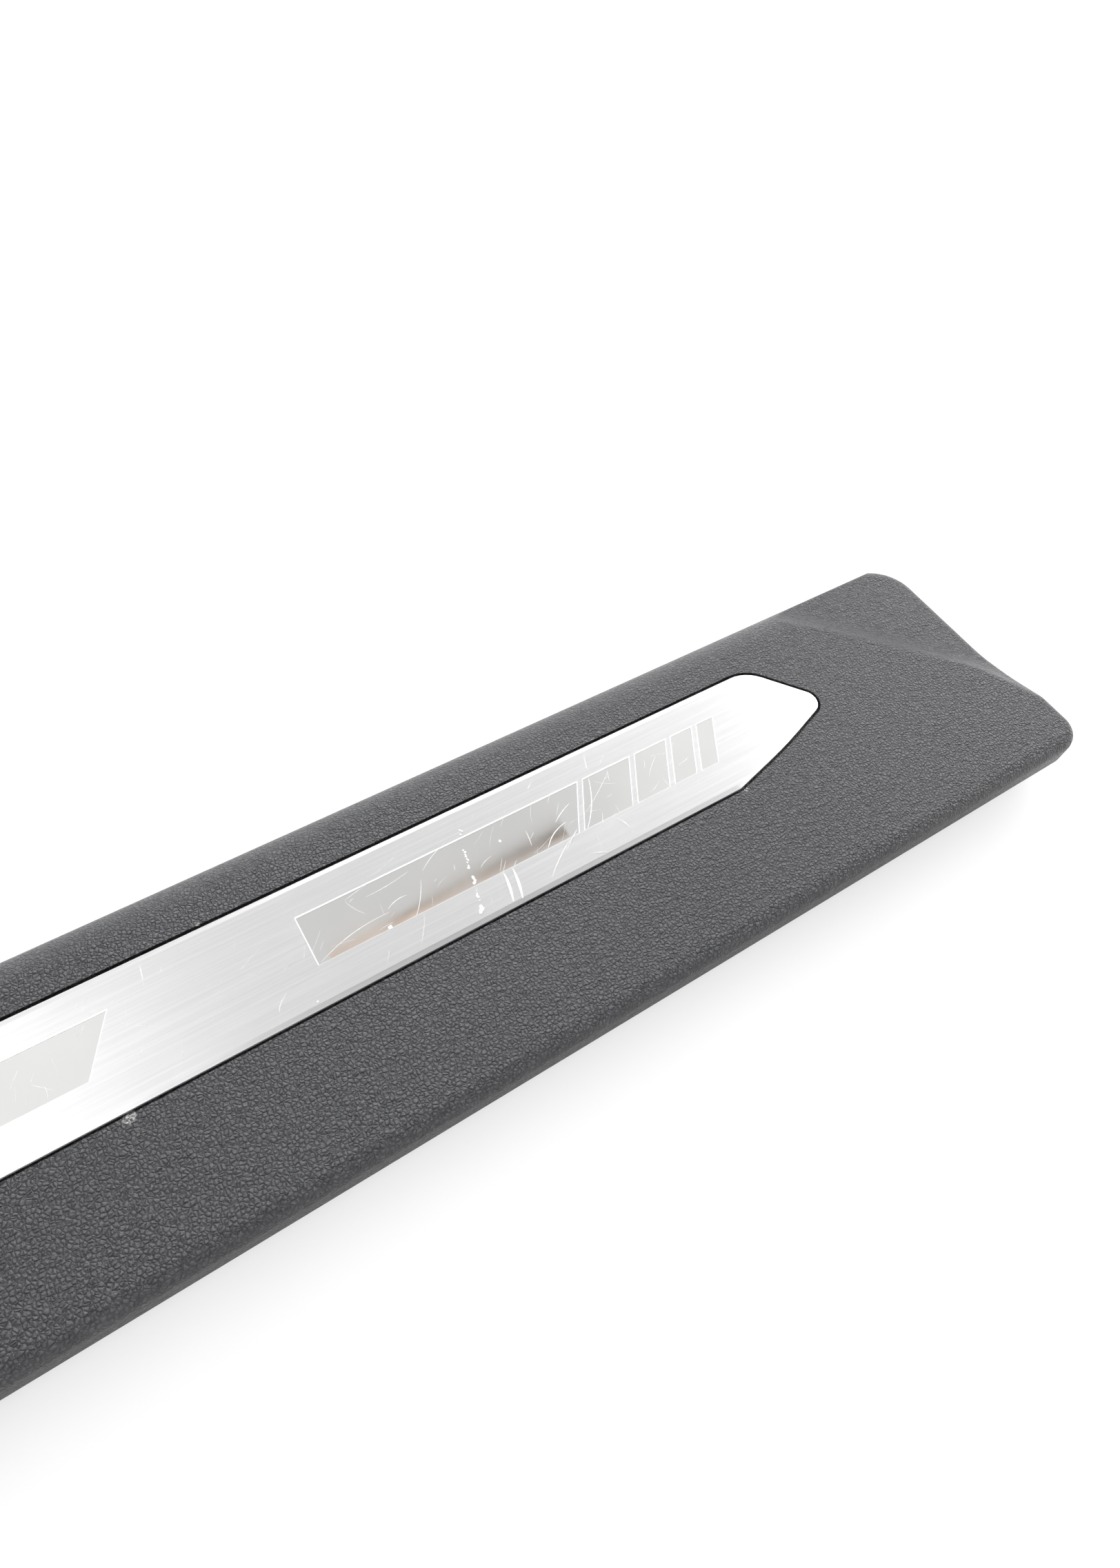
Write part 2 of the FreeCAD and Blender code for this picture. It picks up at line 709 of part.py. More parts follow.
def foam_pad(index, place, cover):
    """A foam block under the skin or the pan, down to the level that the seals press on."""
    x, y = place
    whole = block(f"foam_pad_{index}_block",
                  (f"{x} - sizes.pad_length / 2", f"{y} - sizes.pad_width / 2", BODY_FACE),
                  ("sizes.pad_length", "sizes.pad_width",
                   f"{TOP} - sizes.cover_wall - {BODY_FACE}"))
    return cut(f"foam_pad_{index}", whole, cover)


cover = sill_cover()
nodes = [cover, trim_insert(),
         tape("adhesive_tape_near", f"{INSERT_NEAR} + sizes.tape_from_edge",
              "sizes.nose_near_setback"),
         tape("adhesive_tape_far", f"{INSERT_FAR} - sizes.tape_from_edge - sizes.tape_width",
              "sizes.nose_far_setback")]
for number, place in enumerate(CLIP_PLACES, 1):
    nodes.append(retaining_clip(number, place))
    nodes.append(clip_seal(number, place))
for number, place in enumerate(PAD_PLACES, 1):
    nodes.append(foam_pad(number, place, cover))
doc.recompute()

for item in doc.Objects:
    if "Invalid" in item.State or "Error" in item.State:
        raise RuntimeError(f"{item.Name} failed to build")
os.makedirs("parts", exist_ok=True)
for node in nodes:
    node.Label = node.Name
    shape = node.Shape
    if shape.isNull() or not shape.isValid() or not shape.Solids:
        raise RuntimeError(f"{node.Label} has no sound shape")
for node in nodes:
    node.Shape.exportStep(f"parts/{node.Label}.step")
    print(node.Label, len(node.Shape.Solids), round(node.Shape.Volume, 1))
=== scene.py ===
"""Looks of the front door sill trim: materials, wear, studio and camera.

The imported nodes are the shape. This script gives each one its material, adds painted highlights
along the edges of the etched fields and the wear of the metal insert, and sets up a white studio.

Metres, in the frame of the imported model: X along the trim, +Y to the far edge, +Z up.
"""

import json
import math
import random

import bmesh
import bpy
from mathutils import Euler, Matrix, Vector


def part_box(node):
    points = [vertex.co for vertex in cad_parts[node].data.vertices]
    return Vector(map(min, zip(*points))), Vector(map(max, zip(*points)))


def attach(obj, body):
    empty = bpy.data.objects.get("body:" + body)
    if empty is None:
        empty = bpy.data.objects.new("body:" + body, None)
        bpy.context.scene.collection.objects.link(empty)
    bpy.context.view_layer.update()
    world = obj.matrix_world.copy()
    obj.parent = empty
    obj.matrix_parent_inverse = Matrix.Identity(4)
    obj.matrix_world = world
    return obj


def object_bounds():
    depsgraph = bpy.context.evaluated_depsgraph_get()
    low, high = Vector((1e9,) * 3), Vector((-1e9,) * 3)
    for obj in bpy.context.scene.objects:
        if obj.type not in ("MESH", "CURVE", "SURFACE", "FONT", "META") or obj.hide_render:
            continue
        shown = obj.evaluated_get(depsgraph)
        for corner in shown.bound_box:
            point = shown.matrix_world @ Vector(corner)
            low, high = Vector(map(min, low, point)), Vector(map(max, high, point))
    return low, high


MM = 0.001

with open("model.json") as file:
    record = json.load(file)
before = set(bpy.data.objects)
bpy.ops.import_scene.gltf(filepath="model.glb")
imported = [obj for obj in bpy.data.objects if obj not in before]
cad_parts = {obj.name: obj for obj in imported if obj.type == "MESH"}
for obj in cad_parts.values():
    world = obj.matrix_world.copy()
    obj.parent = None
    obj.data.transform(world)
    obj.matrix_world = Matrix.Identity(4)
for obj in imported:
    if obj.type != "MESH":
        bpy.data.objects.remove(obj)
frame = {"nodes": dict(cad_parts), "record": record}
NODES = frame["nodes"]
CAD_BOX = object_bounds()

# Places that the looks need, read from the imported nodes

INSERT_LOW, INSERT_HIGH = (Vector(corner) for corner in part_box("trim_insert"))
FACE = INSERT_HIGH.z
FIELD_DEPTH = 0.12 * MM

# Painted shade in the gap round the insert: how far out it reaches, and how far below the face it
# starts, is full and ends

SHADE_REACH = 1.6 * MM
SHADE_TOP = 0.45 * MM
SHADE_FULL = 0.70 * MM
SHADE_DEPTH = 2.2 * MM

# Wear stands this far off the metal; where marks cross, each has a level of its own

LIFT = 0.012 * MM
LAYER = 0.002 * MM
DROP_LIFT = 6 * LIFT
FINE_LEVELS = 16

# Fine scratches: how many are tried, and the margins that keep them on the flat of the insert

FINE_SCRATCHES = 230
EDGE_MARGIN = 3.2 * MM
END_SHARE = 0.88

DROP_CORNERS = 12


# Node-tree helpers


class Tree:
    """Adds and joins the nodes of one material or world."""

    def __init__(self, owner):
        owner.use_nodes = True
        self.nodes = owner.node_tree.nodes
        self.links = owner.node_tree.links

    def add(self, kind, sockets=None, **settings):
        node = self.nodes.new(kind)
        for name, setting in settings.items():
            setattr(node, name, setting)
        for name, value in (sockets or {}).items():
            self.feed(node.inputs[name], value)
        return node

    def feed(self, socket, value):
        """Join an output to the socket, or set its value."""
        if isinstance(value, bpy.types.NodeSocket):
            self.links.new(value, socket)
        else:
            socket.default_value = value

    def place(self):
        return self.add("ShaderNodeTexCoord").outputs["Object"]

    def math(self, operation, first, second=0.5):
        node = self.add("ShaderNodeMath", operation=operation)
        self.feed(node.inputs[0], first)
        self.feed(node.inputs[1], second)
        return node.outputs[0]

    def scaled(self, vector, scale, turn=0.0):
        """The coordinates turned about Z, then scaled along each axis."""
        node = self.add("ShaderNodeMapping", {"Vector": vector, "Scale": scale,
                                              "Rotation": (0, 0, turn)})
        return node.outputs[0]

    def noise(self, vector, scale, detail=2.0, roughness=0.5):
        return self.add("ShaderNodeTexNoise", {"Vector": vector, "Scale": scale, "Detail": detail,
                                               "Roughness": roughness}).outputs["Fac"]

    def cells(self, vector, scale, feature="F1"):
        return self.add("ShaderNodeTexVoronoi", {"Vector": vector, "Scale": scale},
                        feature=feature).outputs["Distance"]

    def remap(self, value, low, high, out_low=0.0, out_high=1.0, **settings):
        return self.add("ShaderNodeMapRange", {"Value": value, "From Min": low, "From Max": high,
                                               "To Min": out_low, "To Max": out_high},
                        **settings).outputs[0]

    def mix(self, factor, first, second):
        node = self.add("ShaderNodeMix", data_type="RGBA")
        self.feed(node.inputs["Factor"], factor)
        self.feed(node.inputs["A"], first)
        self.feed(node.inputs["B"], second)
        return node.outputs["Result"]

    def bump(self, height, distance, strength=1.0, under=None):
        node = self.add("ShaderNodeBump", {"Height": height, "Distance": distance,
                                           "Strength": strength})
        if under is not None:
            self.feed(node.inputs["Normal"], under)
        return node.outputs[0]

    def split(self, vector):
        """The X, Y and Z outputs of a vector, by name."""
        return self.add("ShaderNodeSeparateXYZ", {"Vector": vector}).outputs

    def distance(self, place, point):
        """How far the coordinates lie from a point."""
        node = self.add("ShaderNodeVectorMath", operation="DISTANCE")
        self.feed(node.inputs[0], place)
        self.feed(node.inputs[1], point)
        return node.outputs["Value"]

    def normal_up(self):
        """How far the surface faces up: 1 flat, 0 upright."""
        geometry = self.add("ShaderNodeNewGeometry")
        return self.split(geometry.outputs["Normal"])["Z"]


class Material(Tree):
    """The node tree of a new material with one principled shader."""

    def __init__(self, name):
        self.material = bpy.data.materials.new(name)
        super().__init__(self.material)
        self.shader = self.nodes["Principled BSDF"]

    def set(self, **sockets):
        for name, value in sockets.items():
            self.feed(self.shader.inputs[name.replace("_", " ")], value)


# Materials


def painted_gap_shade(tree, place):
    """Painted shade, near black, on the recess walls in the gap round the insert: 1 there, 0
    elsewhere.
    """
    along = tree.split(place)
    share = tree.remap(along["Z"], FACE - SHADE_TOP, FACE - SHADE_FULL)
    for axis, low, high in (("X", INSERT_LOW.x - SHADE_REACH, INSERT_HIGH.x + SHADE_REACH),
                            ("Y", INSERT_LOW.y - SHADE_REACH, INSERT_HIGH.y + SHADE_REACH),
                            ("Z", FACE - SHADE_DEPTH, FACE)):
        above = tree.math("GREATER_THAN", along[axis], low)
        below = tree.math("LESS_THAN", along[axis], high)
        share = tree.math("MULTIPLY", share, tree.math("MULTIPLY", above, below))
    return share


def nicks(tree, place):
    """Chipped spots on the rim of the recess: 1 in a chip, 0 elsewhere."""
    broken = tree.remap(tree.noise(place, 1700.0, 3.0, 0.7), 0.46, 0.54)
    share = 0.0
    for centre, reach in (((6.0, 31.6, 25.0), 0.9), ((179.5, -11.0, 25.0), 1.0),
                          ((-28.0, -11.1, 25.0), 2.4)):
        away = tree.distance(place, Vector(centre) * MM)
        share = tree.math("MAXIMUM", share, tree.remap(away, reach * MM, 0.6 * reach * MM))
    return tree.math("MULTIPLY", share, broken)


def grained_plastic():
    """Charcoal moulding with a fine leather grain; the low spots of the grain are painted darker as
    shade, the high spots left lighter.
    """
    tree = Material("grained_plastic")
    place = tree.place()
    drift = tree.add("ShaderNodeTexNoise", {"Vector": place, "Scale": 420.0, "Detail": 2.0})
    shift = tree.add("ShaderNodeVectorMath", {1: (0.5, 0.5, 0.5)}, operation="SUBTRACT")
    tree.feed(shift.inputs[0], drift.outputs["Color"])
    spread = tree.add("ShaderNodeVectorMath", operation="SCALE")
    tree.feed(spread.inputs[0], shift.outputs[0])
    spread.inputs["Scale"].default_value = 1.1 * MM
    moved = tree.add("ShaderNodeVectorMath", operation="ADD")
    tree.feed(moved.inputs[0], place)
    tree.feed(moved.inputs[1], spread.outputs[0])
    bent = moved.outputs[0]
    creases = tree.cells(bent, 820.0, "DISTANCE_TO_EDGE")
    pebbles = tree.remap(creases, 0.0, 0.32)
    fine = tree.noise(place, 2600.0, 3.0, 0.6)
    folds = tree.noise(tree.scaled(place, (420, 760, 600), 0.6), 1.0, 3.0, 0.6)
    height = tree.math("ADD", pebbles, tree.math("MULTIPLY", fine, 0.9))
    height = tree.math("ADD", height, tree.math("MULTIPLY", folds, 2.2))
    broad = tree.noise(place, 14.0, 3.0)
    tone = tree.mix(tree.remap(broad, 0.3, 0.7), (0.087, 0.088, 0.094, 1), (0.101, 0.102, 0.108, 1))
    # Painted shade: the low spots of the grain are darkened in colour
    tone = tree.mix(tree.remap(height, 1.3, 2.7), (0.026, 0.026, 0.030, 1), tone)
    dust = tree.remap(tree.noise(place, 900.0, 4.0, 0.7), 0.66, 0.8, 0.0, 0.12)
    tone = tree.mix(dust, tone, (0.3, 0.3, 0.3, 1))
    # Painted shade: the recess walls in the gap round the insert are darkened almost to black
    tone = tree.mix(painted_gap_shade(tree, place), tone, (0.004, 0.004, 0.005, 1))
    tone = tree.mix(nicks(tree, place), tone, (0.55, 0.55, 0.54, 1))
    gloss = tree.remap(tree.noise(place, 1500.0, 2.0), 0.3, 0.7, 0.30, 0.48)
    tree.set(Base_Color=tone, Roughness=gloss, IOR=1.5,
             Normal=tree.bump(height, 0.48 * MM, 1.0))
    return tree.material


def brushed_aluminium():
    """Brushed along the trim; the sunk fields are polished."""
    tree = Material("brushed_aluminium")
    place = tree.place()
    sunk = tree.math("LESS_THAN", tree.split(place)["Z"], FACE - FIELD_DEPTH / 2)
    flat = tree.math("GREATER_THAN", tree.normal_up(), 0.995)
    field = tree.math("MULTIPLY", sunk, flat)
    brushed = tree.math("SUBTRACT", 1.0, field)
    strokes = tree.noise(tree.scaled(place, (60, 9000, 60)), 1.0, 4.0, 0.65)
    coarse = tree.noise(tree.scaled(place, (14, 1400, 14)), 1.0, 3.0, 0.6)
    cloud = tree.noise(place, 45.0, 3.0)
    tone = tree.mix(tree.remap(coarse, 0.3, 0.7), (0.81, 0.812, 0.813, 1), (0.95, 0.95, 0.95, 1))
    tone = tree.mix(tree.remap(strokes, 0.25, 0.75), (0.76, 0.762, 0.763, 1), tone)
    polish = tree.mix(tree.remap(cloud, 0.3, 0.7), (0.91, 0.91, 0.90, 1), (0.95, 0.945, 0.93, 1))
    tone = tree.mix(field, tone, polish)
    rough = tree.math("ADD", tree.remap(strokes, 0.2, 0.8, 0.42, 0.54),
                      tree.remap(cloud, 0.3, 0.7, -0.03, 0.03))
    smooth = tree.remap(cloud, 0.3, 0.7, 0.03, 0.07)
    gloss = tree.add("ShaderNodeMix", data_type="FLOAT")
    tree.feed(gloss.inputs["Factor"], field)
    tree.feed(gloss.inputs["A"], rough)
    tree.feed(gloss.inputs["B"], smooth)
    relief = tree.math("MULTIPLY", strokes, brushed)
    tangent = tree.add("ShaderNodeTangent", direction_type="RADIAL", axis="X")
    tree.set(Base_Color=tone, Metallic=1.0, Roughness=gloss.outputs[0], Anisotropic=0.85,
             Normal=tree.bump(relief, 0.006 * MM, 0.5), Tangent=tangent.outputs[0])
    return tree.material


def painted_edge_highlight():
    """Painted highlight on the slope at the edge of each polished field."""
    tree = Material("painted_edge_highlight")
    place = tree.place()
    # Painted highlight: near white and barely metallic, it stands for light caught on the field's
    # slope
    tone = tree.mix(tree.remap(tree.noise(place, 700.0, 3.0), 0.3, 0.7),
                    (0.86, 0.86, 0.86, 1), (0.96, 0.96, 0.95, 1))
    tree.set(Base_Color=tone, Metallic=0.1, Normal=tree.bump(tree.noise(place, 2500.0), 0.01 * MM),
             Roughness=tree.remap(tree.noise(place, 1200.0), 0.3, 0.7, 0.35, 0.55))
    return tree.material


def scratch_mark():
    """Bare bright metal in a scratch, broken along its length."""
    tree = Material("scratch_mark")
    place = tree.place()
    broken = tree.remap(tree.noise(place, 600.0, 3.0), 0.35, 0.65)
    tone = tree.mix(broken, (0.72, 0.72, 0.72, 1), (0.95, 0.95, 0.94, 1))
    tree.set(Base_Color=tone, Metallic=0.35, Normal=tree.bump(broken, 0.01 * MM),
             Roughness=tree.remap(broken, 0.0, 1.0, 0.5, 0.35))
    return tree.material


def dried_drip():
    """Thin white residue left by drops."""
    tree = Material("dried_drip")
    place = tree.place()
    patchy = tree.noise(place, 1400.0, 4.0, 0.7)
    tone = tree.mix(tree.remap(patchy, 0.35, 0.65), (0.80, 0.80, 0.77, 1), (0.93, 0.93, 0.91, 1))
    tree.set(Base_Color=tone, Roughness=tree.remap(patchy, 0.3, 0.7, 0.7, 0.95),
             Normal=tree.bump(patchy, 0.03 * MM))
    return tree.material


def moulded_nylon():
    """Natural nylon of the clips, slightly cloudy, with faint moulding flow."""
    tree = Material("clip_plastic")
    place = tree.place()
    flow = tree.noise(tree.scaled(place, (1, 1, 0.3)), 320.0, 3.0)
    tone = tree.mix(tree.remap(flow, 0.3, 0.7), (0.66, 0.63, 0.55, 1), (0.76, 0.74, 0.66, 1))
    tree.set(Base_Color=tone, Roughness=tree.remap(flow, 0.3, 0.7, 0.32, 0.46),
             Normal=tree.bump(tree.noise(place, 1800.0), 0.015 * MM))
    return tree.material


def seal_rubber():
    """Soft matt rubber with a little bloom."""
    tree = Material("seal_rubber")
    place = tree.place()
    bloom = tree.noise(place, 500.0, 4.0, 0.6)
    tone = tree.mix(tree.remap(bloom, 0.4, 0.7), (0.018, 0.018, 0.020, 1), (0.045, 0.045, 0.047, 1))
    tree.set(Base_Color=tone, Roughness=tree.remap(bloom, 0.3, 0.7, 0.6, 0.8),
             Normal=tree.bump(tree.noise(place, 2600.0, 3.0), 0.03 * MM))
    return tree.material


def open_foam():
    """Dark open-cell foam."""
    tree = Material("foam")
    place = tree.place()
    pores = tree.remap(tree.cells(place, 1100.0), 0.1, 0.6)
    tone = tree.mix(pores, (0.012, 0.012, 0.013, 1), (0.075, 0.075, 0.078, 1))
    tree.set(Base_Color=tone, Roughness=tree.remap(pores, 0.0, 1.0, 1.0, 0.85),
             Normal=tree.bump(pores, 0.35 * MM))
    return tree.material


def foam_tape():
    """White foam tape."""
    tree = Material("tape")
    place = tree.place()
    cells = tree.cells(place, 2400.0)
    tone = tree.mix(tree.remap(cells, 0.1, 0.7), (0.66, 0.66, 0.63, 1), (0.78, 0.78, 0.75, 1))
    tree.set(Base_Color=tone, Roughness=tree.remap(cells, 0.0, 0.8, 0.7, 0.9),
             Normal=tree.bump(cells, 0.04 * MM))
    return tree.material


def dress_nodes():
    """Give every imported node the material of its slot."""
    made = {"grained_plastic": grained_plastic(), "brushed_aluminium": brushed_aluminium(),
            "tape": foam_tape(), "clip_plastic": moulded_nylon(),
            "seal_rubber": seal_rubber(), "foam": open_foam()}
    for part in frame["record"]["subparts"]:
        mesh = NODES[part["node"]].data
        mesh.materials.clear()
        mesh.materials.append(made[part["material_slot"]])


# Painted edge highlights of the etched fields, and wear of the insert


def polished_fields():
    """The four floor corners of each sunk field, in plan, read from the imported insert."""
    mesh = NODES["trim_insert"].data
    groups = []
    for face in mesh.polygons:
        corners = [mesh.vertices[index].co for index in face.vertices]
        if any(abs(corner.z - (FACE - FIELD_DEPTH)) > FIELD_DEPTH / 10 for corner in corners):
            continue
        keys = {(round(corner.x, 6), round(corner.y, 6)) for corner in corners}
        touching = [group for group in groups if group & keys]
        groups = [group for group in groups if group not in touching]
        groups.append(keys.union(*touching))
    fields = []
    for group in groups:
        by_side = sorted(group, key=lambda corner: corner[1])
        fields.append([Vector(corner) for corner in
                       sorted(by_side[:2]) + sorted(by_side[2:], reverse=True)])
    return fields


FIELDS = polished_fields()


def inside(field, point):
    """Whether a point in plan lies within a field, whose corners run anticlockwise."""
    return all((corner - field[index - 1]).cross(point - field[index - 1]) > 0
               for index, corner in enumerate(field))


def metal_level(point):
    """Height of the metal under a point in plan."""
    sunk = any(inside(field, point) for field in FIELDS)
    return FACE - FIELD_DEPTH if sunk else FACE


def add_piece(name, mesh, material):
    """A visible piece that belongs to the insert."""
    item = bpy.data.objects.new(name, mesh)
    mesh.materials.append(material)
    bpy.context.scene.collection.objects.link(item)
    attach(item, "root")


def field_edge_highlights():
    """A painted highlight line round each field: broad at its far side, thin at its near side."""
    far, side, near = 0.50 * MM, 0.32 * MM, 0.10 * MM
    build = bmesh.new()
    for low_left, low_right, high_right, high_left in FIELDS:
        slant_left = (high_left - low_left) / (high_left.y - low_left.y)
        slant_right = (high_right - low_right) / (high_right.y - low_right.y)
        outer = [low_left - slant_left * near - Vector((side, 0)),
                 low_right - slant_right * near + Vector((side, 0)),
                 high_right + slant_right * far + Vector((side, 0)),
                 high_left + slant_left * far - Vector((side, 0))]
        inner = [low_left, low_right, high_right, high_left]
        rings = [[build.verts.new((*corner, FACE + LIFT)) for corner in ring]
                 for ring in (outer, inner)]
        for index in range(4):
            build.faces.new((rings[0][index - 1], rings[0][index],
                             rings[1][index], rings[1][index - 1]))
    mesh = bpy.data.meshes.new("field_edge_highlights")
    build.to_mesh(mesh)
    add_piece("field_edge_highlights", mesh, painted_edge_highlight())


def ribbon(build, points, width, lift=LIFT):
    """A flat strip along a curve on the metal, pointed at both ends."""
    rows = []
    last = len(points) - 1
    for index, point in enumerate(points):
        along = (points[min(index + 1, last)] - points[max(index - 1, 0)]).normalized()
        across = Vector((-along.y, along.x)) * width / 2
        across *= math.sin(math.pi * (index + 0.35) / (last + 0.7)) ** 0.5
        height = metal_level(point) + lift
        rows.append([build.verts.new((*(point + across), height)),
                     build.verts.new((*(point - across), height))])
    for before, after in zip(rows, rows[1:]):
        build.faces.new((before[0], before[1], after[1], after[0]))


def bowed(start, end, bow, steps=14):
    """Points from start to end that bow to the left by a share of the length."""
    run = end - start
    left = Vector((-run.y, run.x)) * bow
    return [start + run * share + left * 4 * share * (1 - share)
            for share in (step / steps for step in range(steps + 1))]


def scratches():
    """The scratches that the photograph shows, then many finer ones."""
    seen = [
        # Start, end, bow and width, in millimetres
        ((32, 3), (56, 7.5), 0.06, 0.22), ((46, 17.5), (57, 19.5), 0.02, 0.16),
        ((52, 15.5), (67, 17), -0.03, 0.18), ((56, 8.5), (63, 10), 0.10, 0.25),
        ((56, 21), (72, 27), -0.06, 0.22), ((20, -1), (16, -5), -0.12, 0.28),
        ((9, 10.5), (20, 16), 0.03, 0.20), ((30, 10), (28, 6), 0.02, 0.20),
        ((104, -7.5), (117, 2), 0.03, 0.32), ((109, 2.5), (119, 8), 0.10, 0.35),
        ((116, 9.5), (124, 13.5), 0.04, 0.28), ((106, 11.5), (105, 6), 0.02, 0.22),
        ((113, 23), (118, 27), 0.05, 0.30), ((69, 12.5), (61, 1), 0.05, 0.22),
        ((65, 2), (59, -7), 0.02, 0.22), ((71, 15), (81, 20), 0.05, 0.20),
        ((85, -2), (83, -7), 0.05, 0.20), ((87, 7), (92, 9), 0.08, 0.16),
        ((139, 28), (136, 21), -0.03, 0.35), ((135, 19.2), (124, 2.5), 0.06, 0.35),
        ((142, 17.7), (126, 7.5), 0.02, 0.12), ((147, 26), (140, 21), 0.03, 0.25),
        ((134, 1), (136, -6), 0.14, 0.32), ((125, 0), (124, -6), 0.05, 0.25),
        ((114, -1), (121, 4), 0.03, 0.30), ((120, -6), (125, -8), 0.05, 0.28),
        ((-12, 28), (-13, 21), 0.02, 0.32), ((-6, 26), (-9, 21), 0.03, 0.18),
        ((-44, 8), (-44, 3), 0.08, 0.20), ((-10, 0), (-11, -5), 0.02, 0.20),
        ((51, -2.5), (48, -7), 0.03, 0.20), ((26, 8), (21, 5.5), 0.02, 0.16),
    ]
    build = bmesh.new()
    for index, (start, end, bow, width) in enumerate(seen):
        path = bowed(Vector(start) * MM, Vector(end) * MM, bow)
        ribbon(build, path, width * MM, LIFT + index * LAYER)
    draw = random.Random(7)
    near, far = INSERT_LOW.y + EDGE_MARGIN, INSERT_HIGH.y - EDGE_MARGIN
    reach = END_SHARE * INSERT_HIGH.x
    for index in range(FINE_SCRATCHES):
        start = Vector((draw.uniform(-reach, reach), draw.uniform(near, far)))
        angle = math.radians(draw.gauss(38, 30))
        length = draw.uniform(1.5, 9.0) * MM
        end = start + Vector((math.cos(angle), math.sin(angle))) * length
        if not near < end.y < far or abs(end.x) > reach:
            continue
        path = bowed(start, end, draw.gauss(0, 0.05))
        lift = LIFT + index % FINE_LEVELS * LAYER
        ribbon(build, path, draw.uniform(0.05, 0.14) * MM, lift)
    mesh = bpy.data.meshes.new("scratches")
    build.to_mesh(mesh)
    add_piece("scratches", mesh, scratch_mark())


def blot(build, centre, radius, lift, draw):
    """A dried spot with a ragged edge."""
    height = metal_level(centre) + lift
    ring = []
    for index in range(DROP_CORNERS):
        angle = math.tau * index / DROP_CORNERS
        reach = radius * draw.uniform(0.6, 1.15)
        ring.append(build.verts.new((centre.x + reach * math.cos(angle),
                                     centre.y + reach * math.sin(angle), height)))
    build.faces.new(ring)


def dried_drips():
    """White residue: a run of spots across the long field, two streaks and a few stray dots."""
    draw = random.Random(11)
    build = bmesh.new()
    runs = [
        # Start, end, number of spots and radius, in millimetres
        ((88, 22), (87.5, 20.5), 3, 0.40), ((85.5, 15), (84, 9), 9, 0.45),
        ((83.5, 5.5), (83, 3.5), 4, 0.60), ((82.3, 1.5), (81, -2.5), 6, 0.45),
        ((80.5, -4.5), (79.8, -6), 4, 0.95), ((97, 12.5), (97, 12), 2, 0.45),
        ((54, 3.2), (54, 3), 2, 0.75), ((26, -7.5), (26, -7.4), 1, 0.45),
    ]
    for start, end, count, radius in runs:
        for index in range(count):
            centre = Vector(start).lerp(Vector(end), index / max(count - 1, 1))
            centre += Vector((draw.gauss(0, 0.15), draw.gauss(0, 0.15)))
            lift = DROP_LIFT + index * LAYER
            blot(build, centre * MM, radius * draw.uniform(0.6, 1.1) * MM, lift, draw)
    for start, end in (((92.3, 1.7), (90, -8)), ((95.5, 1.7), (93, -8.5))):
        path = bowed(Vector(start) * MM, Vector(end) * MM, 0.03)
        ribbon(build, path, 0.9 * MM, DROP_LIFT)
    mesh = bpy.data.meshes.new("dried_drips")
    build.to_mesh(mesh)
    add_piece("dried_drips", mesh, dried_drip())


# Studio and camera


def camera():
    """The photograph's viewpoint: close above the near edge, looking along to the right end."""
    place = Vector((17.54, -108.81, 282.83)) * MM
    turn = Euler([math.radians(angle) for angle in (32.928, -4.890, -32.102)], "XYZ")
    data = bpy.data.cameras.new("camera")
    data.sensor_width = 36.0
    data.lens = 21.294
    data.clip_start = 0.01
    item = bpy.data.objects.new("camera", data)
    item.location = place
    item.rotation_euler = turn
    bpy.context.scene.collection.objects.link(item)
    bpy.context.scene.camera = item


def softbox(name, towards, distance, size, power, aim=(0, 0, 0)):
    """An oblong area light that stands in a direction from the trim and faces it."""
    data = bpy.data.lights.new(name, "AREA")
    data.shape = "RECTANGLE"
    data.size, data.size_y = size
    data.energy = power
    item = bpy.data.objects.new(name, data)
    item.location = Vector(aim) + Vector(towards).normalized() * distance
    item.rotation_euler = (Vector(aim) - item.location).to_track_quat("-Z", "Y").to_euler()
    bpy.context.scene.collection.objects.link(item)


def floor():
    """A white ground that the trim stands on; it keeps the shadow and looks white itself."""
    mesh = bpy.data.meshes.new("floor")
    half = 6.0
    mesh.from_pydata([(-half, -half, 0), (half, -half, 0), (half, half, 0), (-half, half, 0)],
                     [], [(0, 1, 2, 3)])
    item = bpy.data.objects.new("floor", mesh)
    item.location.z = CAD_BOX[0].z
    bpy.context.scene.collection.objects.link(item)
    tree = Material("floor")
    place = tree.place()
    marks = tree.noise(place, 9.0, 5.0, 0.6)
    tone = tree.mix(tree.remap(marks, 0.3, 0.7), (0.93, 0.93, 0.93, 1), (0.96, 0.96, 0.96, 1))
    tree.set(Base_Color=tone, Roughness=0.7)
    white = tree.add("ShaderNodeEmission", {"Color": (0.99, 0.99, 1.0, 1), "Strength": 1.0})
    paths = tree.add("ShaderNodeLightPath")
    share = tree.math("MULTIPLY", paths.outputs["Is Camera Ray"], 0.68)
    blend = tree.add("ShaderNodeMixShader", {"Fac": share})
    tree.feed(blend.inputs[1], tree.shader.outputs[0])
    tree.feed(blend.inputs[2], white.outputs[0])
    tree.feed(tree.nodes["Material Output"].inputs["Surface"], blend.outputs[0])
    mesh.materials.append(tree.material)


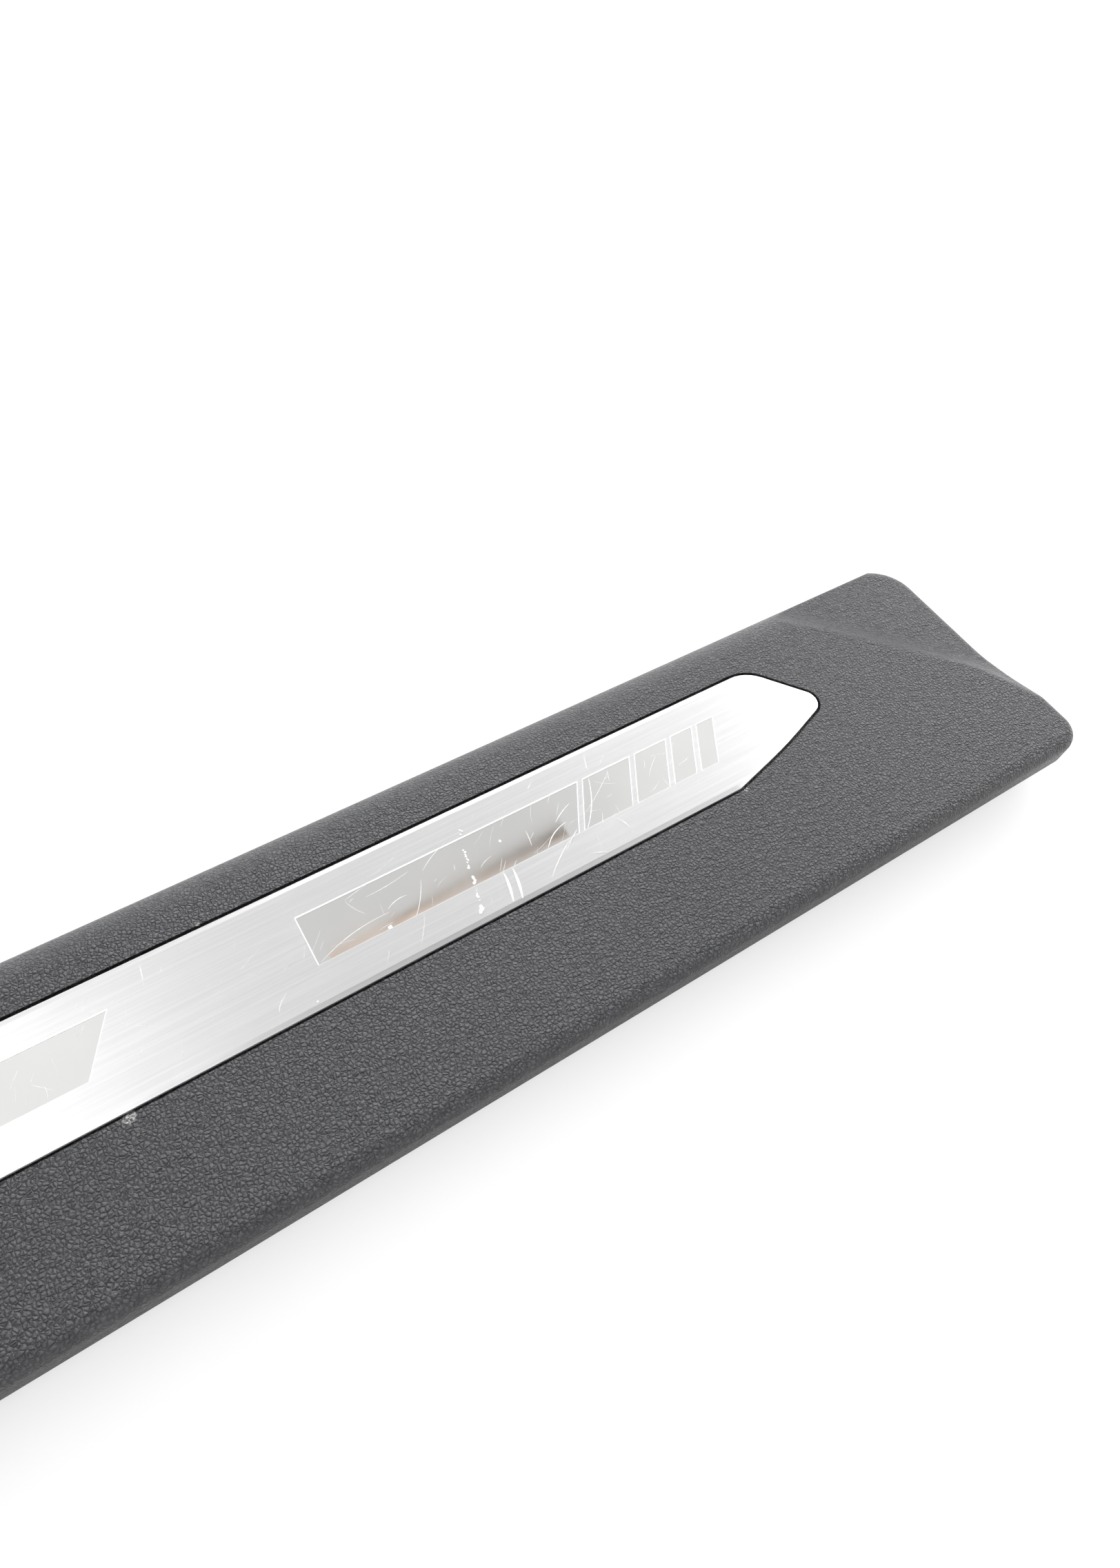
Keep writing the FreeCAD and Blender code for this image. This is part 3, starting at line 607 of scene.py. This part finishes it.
def boom():
    """A brown light stand arm overhead; the polished fields mirror it as a warm streak."""
    near_end, far_end = Vector((0.075, 0.262, 0.625)), Vector((0.350, 0.272, 0.625))
    half = Vector((0, 0.004, 0))
    mesh = bpy.data.meshes.new("boom")
    mesh.from_pydata([near_end - half, far_end - 2 * half, far_end + 2 * half, near_end + half],
                     [], [(0, 1, 2, 3)])
    item = bpy.data.objects.new("boom", mesh)
    bpy.context.scene.collection.objects.link(item)
    tree = Material("boom")
    place = tree.place()
    warm = tree.remap(tree.noise(place, 30.0, 3.0), 0.35, 0.65)
    tone = tree.mix(warm, (0.50, 0.34, 0.24, 1), (0.66, 0.49, 0.37, 1))
    core = tree.remap(tree.split(place)["Y"], 0.2635, 0.268)
    tree.set(Base_Color=tree.mix(core, tone, (0.07, 0.055, 0.045, 1)), Roughness=0.8,
             Normal=tree.bump(warm, 0.2 * MM))
    mesh.materials.append(tree.material)
    item.visible_camera = False
    item.visible_diffuse = False
    item.visible_shadow = False


def sky():
    """White all round, dimmer overhead and behind the camera, which itself sees white."""
    world = bpy.data.worlds.new("studio")
    bpy.context.scene.world = world
    tree = Tree(world)
    light = tree.nodes["Background"]
    light.inputs["Color"].default_value = (1, 1, 1, 1)
    towards = tree.split(tree.add("ShaderNodeTexCoord").outputs["Generated"])
    lean = tree.math("DIVIDE", towards["X"], tree.math("MAXIMUM", towards["Z"], 0.05))
    aside = tree.math("ABSOLUTE", tree.math("SUBTRACT", lean, 0.21))
    overhead = tree.remap(aside, 0.10, 0.42, 0.65, 0.88, interpolation_type="SMOOTHSTEP")
    behind = tree.remap(towards["Y"], -0.75, -0.25, 0.25, 1.0, interpolation_type="SMOOTHSTEP")
    tree.feed(light.inputs["Strength"], tree.math("MULTIPLY", overhead, behind))
    seen = tree.add("ShaderNodeBackground", {"Color": (1, 1, 1, 1), "Strength": 1.0})
    paths = tree.add("ShaderNodeLightPath")
    blend = tree.add("ShaderNodeMixShader", {"Fac": paths.outputs["Is Camera Ray"]})
    tree.feed(blend.inputs[1], light.outputs[0])
    tree.feed(blend.inputs[2], seen.outputs[0])
    tree.feed(tree.nodes["World Output"].inputs["Surface"], blend.outputs[0])


def studio():
    floor()
    boom()
    sky()
    softbox("left_softbox", (-0.36, -0.20, 0.90), 1.6, (0.5, 0.8), 7.5)
    softbox("right_softbox", (0.86, 0.22, 0.42), 1.8, (0.8, 1.0), 27.0)
    softbox("back_softbox", (0.30, 0.93, 0.20), 1.8, (1.2, 0.40), 18.0)
    bpy.context.scene.view_settings.view_transform = "Standard"


dress_nodes()
field_edge_highlights()
scratches()
dried_drips()
camera()
studio()
